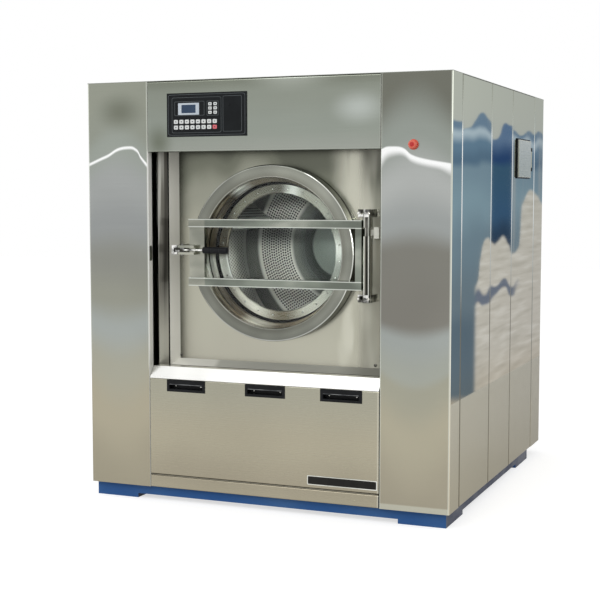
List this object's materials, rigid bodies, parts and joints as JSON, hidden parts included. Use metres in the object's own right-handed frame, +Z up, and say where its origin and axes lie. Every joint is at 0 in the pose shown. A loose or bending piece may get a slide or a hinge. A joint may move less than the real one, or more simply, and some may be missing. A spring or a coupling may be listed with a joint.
{
  "type": "industrial washer-extractor",
  "caption": "Soft-mounted front-loading laundry washer-extractor in a tall stainless cabinet, with a barred round glass door, lever latch, belt-driven drum and sprung tub.",
  "frame": {"origin": "on the floor, midway between the four anchor holes in the feet", "axes": "+X to the machine's right seen from the front, +Y towards its back, +Z up; the drum axis is along Y"},
  "size_m": [1.916, 2.063, 2.1],
  "materials": {
    "blue_paint": "semi-gloss enamel",
    "frame_paint": "primer grey",
    "motor_paint": "semi-gloss enamel",
    "black_paint": "satin",
    "brushed_stainless": "brushed satin",
    "polished_stainless": "bright, near mirror",
    "bearing_steel": "ground",
    "chromed_steel": "bright",
    "cast_housing": "painted casting",
    "black_rubber": "matte",
    "black_plastic": "moulded",
    "grey_plastic": "moulded",
    "black_membrane": "printed membrane",
    "display_bezel": "clear window",
    "red_plastic": "moulded",
    "door_glass": "clear toughened",
    "inlet_brass": "machined"
  },
  "bodies": {
    "cabinet": {"base_frame": "blue_paint", "foot_pads": "blue_paint", "cabinet_frame": "frame_paint", "left_front_column": "brushed_stainless", "right_front_column": "brushed_stainless", "top_fascia": "brushed_stainless", "lower_front_panel": "brushed_stainless", "kick_strip": "brushed_stainless", "sill_lip": "polished_stainless", "left_side_panel_front": "polished_stainless", "left_side_panel_middle": "polished_stainless", "left_side_panel_rear": "polished_stainless", "right_side_panel_front": "polished_stainless", "right_side_panel_middle": "polished_stainless", "right_side_panel_rear": "polished_stainless", "left_rear_corner": "polished_stainless", "right_rear_corner": "polished_stainless", "rear_panel": "polished_stainless", "roof_panel": "polished_stainless", "control_panel": "black_membrane", "display_window": "display_bezel", "estop_collar": "brushed_stainless", "panel_pulls": "black_plastic", "hatch_frame": "black_paint", "soap_hopper": "brushed_stainless", "air_springs": "black_rubber", "drain_pipe": "brushed_stainless", "water_inlets": "inlet_brass"},
    "tub": {"outer_tub": "brushed_stainless", "tub_front_plate": "brushed_stainless", "surround_trim": "brushed_stainless", "tub_neck": "polished_stainless", "tub_cradle": "blue_paint", "bearing_housing": "cast_housing", "main_bearings": "bearing_steel", "shaft_seal": "black_rubber", "motor": "motor_paint", "drive_belt": "black_rubber", "drain_boot": "black_rubber", "hinge_brackets": "polished_stainless", "hinge_pin": "chromed_steel", "door_switch": "grey_plastic", "latch_keeper": "polished_stainless"},
    "drum": {"inner_drum": "brushed_stainless", "drum_mouth_ring": "polished_stainless", "drum_back": "brushed_stainless", "drum_spider": "cast_housing", "drum_lifters": "brushed_stainless", "main_shaft": "bearing_steel", "drum_pulley": "cast_housing"},
    "motor_rotor": {"motor_pulley": "cast_housing"},
    "door": {"door_ring": "polished_stainless", "door_gasket": "black_rubber", "door_glass": "door_glass", "door_frame": "brushed_stainless", "latch_pin": "chromed_steel"},
    "latch": {"latch_lever": "chromed_steel", "latch_grip": "black_plastic"},
    "estop": {"estop_button": "red_plastic"},
    "hatch": {"hatch_lid": "brushed_stainless"}
  },
  "joints": [
    {"name": "tub_float", "type": "slide", "parent": "cabinet", "child": "tub", "axis": [0, 0, 1], "range_m": [-0.02, 0.02], "stiffness_N_per_m": 160000, "springref_m": 0.09605, "deforming": ["air_springs"]},
    {"name": "drum_spin", "type": "hinge", "parent": "tub", "child": "drum", "pos_m": [0, 0, 1.255], "axis": [0, 1, 0], "continuous": true},
    {"name": "motor_spin", "type": "hinge", "parent": "tub", "child": "motor_rotor", "pos_m": [0, 0, 0.69], "axis": [0, 1, 0], "continuous": true},
    {"name": "door_swing", "type": "hinge", "parent": "tub", "child": "door", "pos_m": [0.51, -0.777, 1.255], "axis": [0, 0, 1], "range_deg": [0, 110]},
    {"name": "latch_turn", "type": "hinge", "parent": "door", "child": "latch", "pos_m": [-0.46, -0.8055, 1.267], "axis": [0, 0, -1], "range_deg": [0, 100]},
    {"name": "estop_press", "type": "slide", "parent": "cabinet", "child": "estop", "axis": [0, 1, 0], "range_m": [0, 0.004], "stiffness_N_per_m": 1500},
    {"name": "hatch_swing", "type": "hinge", "parent": "cabinet", "child": "hatch", "pos_m": [0.96, 0.7195, 1.7385], "axis": [0, 0, 1], "range_deg": [0, 110]}
  ],
  "couplings": [
    {"joint": "motor_spin", "follows": "drum_spin", "ratio": 4.125}
  ]
}
